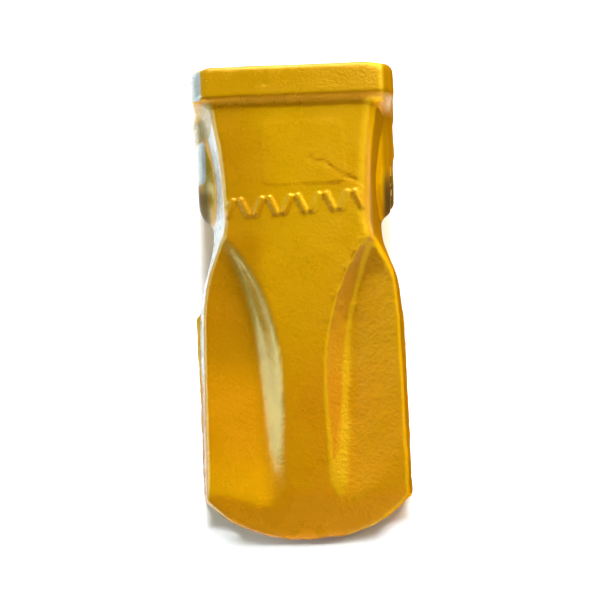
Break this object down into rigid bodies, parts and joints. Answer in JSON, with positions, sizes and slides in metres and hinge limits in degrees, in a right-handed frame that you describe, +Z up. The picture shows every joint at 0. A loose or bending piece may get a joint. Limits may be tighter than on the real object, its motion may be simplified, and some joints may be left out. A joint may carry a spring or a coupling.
{
  "type": "excavator bucket tooth",
  "caption": "Cast side-pin rock chisel tooth point with a tapered nose socket, two flutes a face and a bevelled tip, held by a round pin and a rubber ring retainer.",
  "frame": {"origin": "centre of the bounding box's bottom face, on the ground that the loose tooth lies on", "axes": "+Z up; -Y towards the tip, +Y out of the socket's mouth (the tooth's own axis dips 11.2 degrees towards the tip); +X along the lock pin, towards the retainer"},
  "size_m": [0.1442, 0.3276, 0.1406],
  "materials": {
    "yellow_paint": "gloss enamel over a sand-cast skin",
    "pin_steel": "dark oiled turned steel",
    "retainer_steel": "satin pressed steel",
    "retainer_rubber": "matte moulded rubber"
  },
  "bodies": {
    "tooth": {"tooth_point": "yellow_paint"},
    "retainer": {"retainer_shell": "retainer_steel", "retainer_rubber": "retainer_rubber", "retainer_jaw_upper": "retainer_steel", "retainer_jaw_lower": "retainer_steel"},
    "pin": {"lock_pin": "pin_steel"}
  },
  "joints": [
    {"name": "retainer_turn", "type": "hinge", "parent": "tooth", "child": "retainer", "pos_m": [0.0617, 0.0846, 0.05978], "axis": [1, 0, 0], "continuous": true},
    {"name": "pin_drive", "type": "slide", "parent": "retainer", "child": "pin", "axis": [-1, 0, 0], "range_m": [0, 0.14], "deforming": ["retainer_rubber", "retainer_jaw_upper", "retainer_jaw_lower"]}
  ]
}
